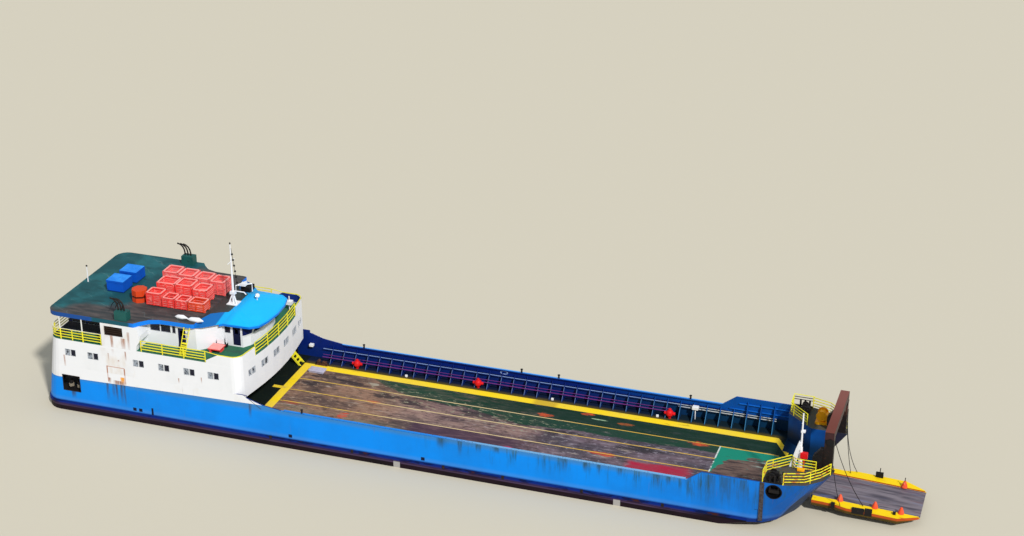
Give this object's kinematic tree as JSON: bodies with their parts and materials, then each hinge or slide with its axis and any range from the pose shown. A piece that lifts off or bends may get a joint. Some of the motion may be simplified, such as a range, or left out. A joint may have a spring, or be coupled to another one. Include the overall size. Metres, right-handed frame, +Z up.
{
  "type": "passenger and car ferry, 1:2 scale model",
  "caption": "Flat-bottomed passenger and car ferry with an open car deck, a bow ramp under a portal, and a two-tier house with a wheelhouse aft.",
  "frame": {"origin": "on the centreline under the middle of the overall length, at the level of the flat bottom", "axes": "+X to the bow, +Y to port, +Z up"},
  "size_m": [39.6404, 6.96, 8.6],
  "materials": {
    "hull_paint": "satin, weathered",
    "bulwark_paint": "satin, weathered",
    "strake_paint": "satin, scuffed",
    "bottom_paint": "matte, fouled",
    "bronze": "polished, tarnished",
    "black_iron": "rough",
    "portal_paint": "matte, rusted",
    "ramp_paint": "satin, worn",
    "white_paint": "satin, weathered",
    "deck_paint": "matte, worn",
    "roof_paint": "matte, worn",
    "visor_paint": "satin",
    "rail_paint": "gloss",
    "winch_paint": "satin",
    "dark_door": "gloss",
    "locker_paint": "satin",
    "float_red": "matte, faded",
    "raft_orange": "woven cover",
    "exhaust_paint": "matte, sooty"
  },
  "bodies": {
    "hull": {"hull": "hull_paint", "rubbing_strake": "strake_paint", "shaft_bracket_starboard": "bottom_paint", "shaft_bracket_port": "bottom_paint", "bulwark_starboard": "bulwark_paint", "bulwark_port": "bulwark_paint", "bow_horn_starboard": "hull_paint", "bow_horn_port": "hull_paint", "anchor_starboard": "black_iron", "anchor_port": "black_iron", "ramp_portal": "portal_paint", "aft_plating": "hull_paint", "cabin_deck": "white_paint", "cabin_walls": "white_paint", "upper_deck": "deck_paint", "wing_wall_starboard": "white_paint", "wing_wall_port": "white_paint", "engine_casing_starboard": "white_paint", "engine_casing_port": "white_paint", "upper_house": "white_paint", "wheelhouse": "white_paint", "roof": "roof_paint", "wheelhouse_visor": "visor_paint", "side_rail_starboard": "rail_paint", "side_rail_port": "rail_paint", "front_rail": "rail_paint", "aft_rail": "rail_paint", "platform_rail_starboard": "rail_paint", "platform_rail_port": "rail_paint", "windlass_starboard": "black_iron", "windlass_port": "black_iron", "ramp_winch": "winch_paint", "main_mast": "white_paint", "bow_mast": "white_paint", "stern_light_mast": "white_paint", "locker_starboard": "locker_paint", "locker_port": "locker_paint", "life_floats_starboard": "float_red", "life_floats_middle": "float_red", "life_floats_port": "float_red", "octagonal_raft": "raft_orange", "exhaust_starboard": "exhaust_paint", "exhaust_port": "exhaust_paint", "deck_stairs": "rail_paint", "roof_ladder": "rail_paint", "deck_bench": "float_red"},
    "bow_ramp": {"bow_ramp": "ramp_paint"},
    "propeller_starboard": {"propeller_starboard": "bronze"},
    "propeller_port": {"propeller_port": "bronze"},
    "rudder_starboard": {"rudder_starboard": "bottom_paint"},
    "rudder_port": {"rudder_port": "bottom_paint"},
    "house_door_starboard": {"house_door_starboard": "dark_door"},
    "house_door_port": {"house_door_port": "dark_door"},
    "wheelhouse_door_starboard": {"wheelhouse_door_starboard": "dark_door"},
    "wheelhouse_door_port": {"wheelhouse_door_port": "dark_door"},
    "locker_lid_starboard": {"locker_lid_starboard": "locker_paint"},
    "locker_lid_port": {"locker_lid_port": "locker_paint"}
  },
  "joints": [
    {"name": "bow_ramp_hinge", "type": "hinge", "parent": "hull", "child": "bow_ramp", "pos_m": [15.295, 0, 1.24], "axis": [0, -1, 0], "range_deg": [-4, 70]},
    {"name": "propeller_starboard_spin", "type": "hinge", "parent": "hull", "child": "propeller_starboard", "pos_m": [-17.43, -1.6, 0.305], "axis": [1, 0, 0], "continuous": true},
    {"name": "propeller_port_spin", "type": "hinge", "parent": "hull", "child": "propeller_port", "pos_m": [-17.43, 1.6, 0.305], "axis": [1, 0, 0], "continuous": true},
    {"name": "rudder_starboard_turn", "type": "hinge", "parent": "hull", "child": "rudder_starboard", "pos_m": [-18.255, -1.6, 0.425], "axis": [0, 0, 1], "range_deg": [-35, 35]},
    {"name": "rudder_port_turn", "type": "hinge", "parent": "hull", "child": "rudder_port", "pos_m": [-18.255, 1.6, 0.425], "axis": [0, 0, 1], "range_deg": [-35, 35]},
    {"name": "house_door_starboard_hinge", "type": "hinge", "parent": "hull", "child": "house_door_starboard", "pos_m": [-12.655, -2.55, 4.825], "axis": [0, 0, 1], "range_deg": [0, 90]},
    {"name": "house_door_port_hinge", "type": "hinge", "parent": "hull", "child": "house_door_port", "pos_m": [-12.655, 2.55, 4.825], "axis": [0, 0, -1], "range_deg": [0, 90]},
    {"name": "wheelhouse_door_starboard_hinge", "type": "hinge", "parent": "hull", "child": "wheelhouse_door_starboard", "pos_m": [-10.43, -1.6, 4.825], "axis": [0, 0, 1], "range_deg": [0, 95]},
    {"name": "wheelhouse_door_port_hinge", "type": "hinge", "parent": "hull", "child": "wheelhouse_door_port", "pos_m": [-10.43, 1.6, 4.825], "axis": [0, 0, -1], "range_deg": [0, 95]},
    {"name": "locker_lid_starboard_hinge", "type": "hinge", "parent": "hull", "child": "locker_lid_starboard", "pos_m": [-17.105, 0.12, 6.1003], "axis": [-1, 0, 0], "range_deg": [0, 90]},
    {"name": "locker_lid_port_hinge", "type": "hinge", "parent": "hull", "child": "locker_lid_port", "pos_m": [-17.055, 1.245, 6.1003], "axis": [-1, 0, 0], "range_deg": [0, 90]}
  ]
}
